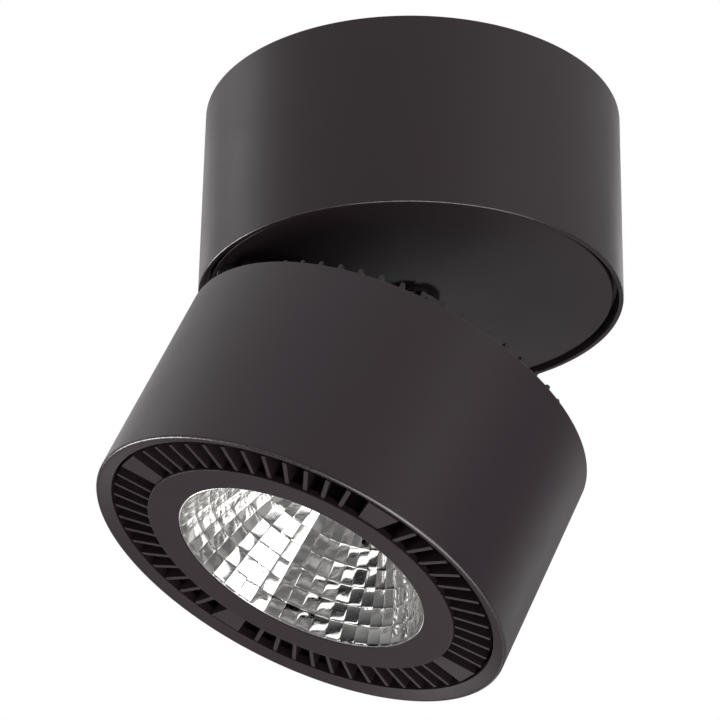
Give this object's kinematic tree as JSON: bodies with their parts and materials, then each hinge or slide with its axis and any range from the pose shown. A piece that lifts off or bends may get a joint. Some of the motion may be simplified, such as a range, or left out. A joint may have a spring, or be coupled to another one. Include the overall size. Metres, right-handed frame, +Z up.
{
  "type": "led ceiling light",
  "caption": "Round surface-mounted ceiling spotlight: a can holds a swivelling disc, and a finned head of the same width tilts on its hinge.",
  "frame": {"origin": "centre of the ceiling plane, the flat top of the bracket and of the can", "axes": "+Z up into the ceiling, the head's front swings towards -X as it tilts, +Y along the hinge pin"},
  "size_m": [0.1677, 0.138, 0.1931],
  "materials": {
    "dark_coat": "fine matt powder coat, warm dark grey",
    "head_coat": "fine matt powder coat, warm dark grey, on aluminium",
    "sink_coat": "matt dark grey coat on a casting",
    "bezel_coat": "satin dark grey coat",
    "mirror_film": "vacuum-metallised facets",
    "plain_steel": "zinc plated",
    "black_screw": "black oxide",
    "bright_screw": "bright zinc",
    "brass": "plain",
    "slip_plastic": "natural slip plastic",
    "driver_plastic": "moulded, fine texture",
    "terminal_plastic": "moulded",
    "soft_rubber": "matt",
    "pad_silicone": "matt",
    "board_ceramic": "white solder mask",
    "phosphor": "yellow phosphor gel",
    "holder_plastic": "moulded",
    "lead_jacket": "silicone jacket"
  },
  "bodies": {
    "canopy": {"bearing_washer": "slip_plastic", "cable_clamp": "plain_steel", "canopy_floor": "plain_steel", "canopy_shell": "dark_coat", "canopy_stop": "plain_steel", "ceiling_bracket": "plain_steel", "clamp_screws": "bright_screw", "disc_spring": "plain_steel", "driver_case": "driver_plastic", "driver_cover": "driver_plastic", "driver_screws": "bright_screw", "earth_screw": "brass", "earth_washer": "bright_screw", "floor_screws": "black_screw", "set_screws": "black_screw", "terminal_block": "terminal_plastic", "terminal_fixing_screw": "bright_screw", "terminal_screws": "brass"},
    "swivel": {"swivel_disc": "dark_coat", "pivot_tube": "dark_coat", "pivot_bush": "soft_rubber", "lock_nut": "plain_steel", "swivel_stop": "plain_steel", "hinge_bracket": "dark_coat", "bracket_screws": "black_screw"},
    "head": {"head_shell": "head_coat", "heat_sink": "sink_coat", "hinge_lug": "dark_coat", "lug_screws": "black_screw", "hinge_pin": "black_screw", "hinge_nut": "black_screw", "friction_washers": "slip_plastic", "shell_screw": "black_screw", "thermal_pad": "pad_silicone", "cob_board": "board_ceramic", "cob_emitter": "phosphor", "cob_holder": "holder_plastic", "holder_screws": "bright_screw", "led_leads": "lead_jacket", "reflector": "mirror_film", "bezel_ring": "bezel_coat", "rear_cover": "plain_steel", "cover_screws": "black_screw", "lead_grommet": "soft_rubber"}
  },
  "joints": [
    {"name": "pan", "type": "hinge", "parent": "canopy", "child": "swivel", "pos_m": [0, 0, -0.0663], "axis": [0, 0, 1], "range_deg": [-175, 175]},
    {"name": "tilt", "type": "hinge", "parent": "swivel", "child": "head", "pos_m": [-0.063, 0, -0.0711], "axis": [0, 1, 0], "range_deg": [-23.6, 66.4]}
  ]
}
